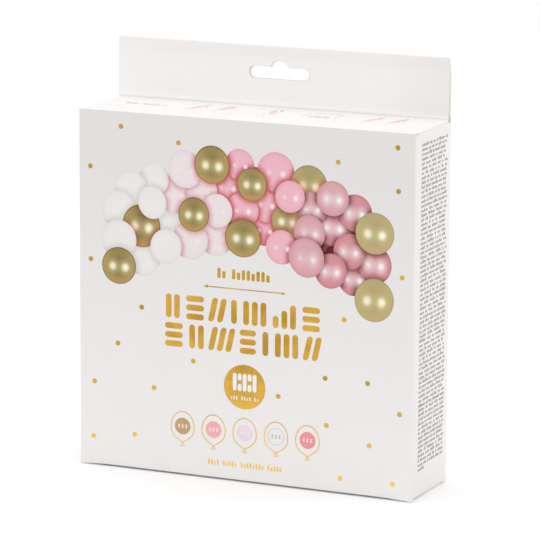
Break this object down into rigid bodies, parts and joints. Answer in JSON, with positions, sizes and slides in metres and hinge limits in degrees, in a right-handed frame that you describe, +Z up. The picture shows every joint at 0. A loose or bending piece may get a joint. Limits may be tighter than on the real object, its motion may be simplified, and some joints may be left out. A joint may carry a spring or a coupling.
{
  "type": "retail hanging carton",
  "caption": "Flat upright folding carton of white board with a tuck-in lid, inner dust flaps and a double-ply hang tab with a hook slot.",
  "frame": {"origin": "on the surface that the carton stands on, under the middle of its width and depth", "axes": "+X to the right seen from the front, +Y from the front wall to the back wall, +Z up to the hang tab"},
  "size_m": [0.175, 0.044, 0.206],
  "materials": {
    "white_board": "satin",
    "uncoated_board": "matte"
  },
  "bodies": {
    "carton": {"carton_body": "white_board"},
    "lid": {"lid": "white_board"},
    "dust_flap_right": {"dust_flap_right": "uncoated_board"},
    "dust_flap_left": {"dust_flap_left": "uncoated_board"}
  },
  "joints": [
    {"name": "lid_crease", "type": "hinge", "parent": "carton", "child": "lid", "pos_m": [0, 0.01935, 0.176], "axis": [-1, 0, 0], "range_deg": [0, 88]},
    {"name": "dust_flap_right_crease", "type": "hinge", "parent": "carton", "child": "dust_flap_right", "pos_m": [0.0867, 0, 0.1747], "axis": [0, -1, 0], "range_deg": [0, 88]},
    {"name": "dust_flap_left_crease", "type": "hinge", "parent": "carton", "child": "dust_flap_left", "pos_m": [-0.0867, 0, 0.1747], "axis": [0, 1, 0], "range_deg": [0, 88]}
  ]
}
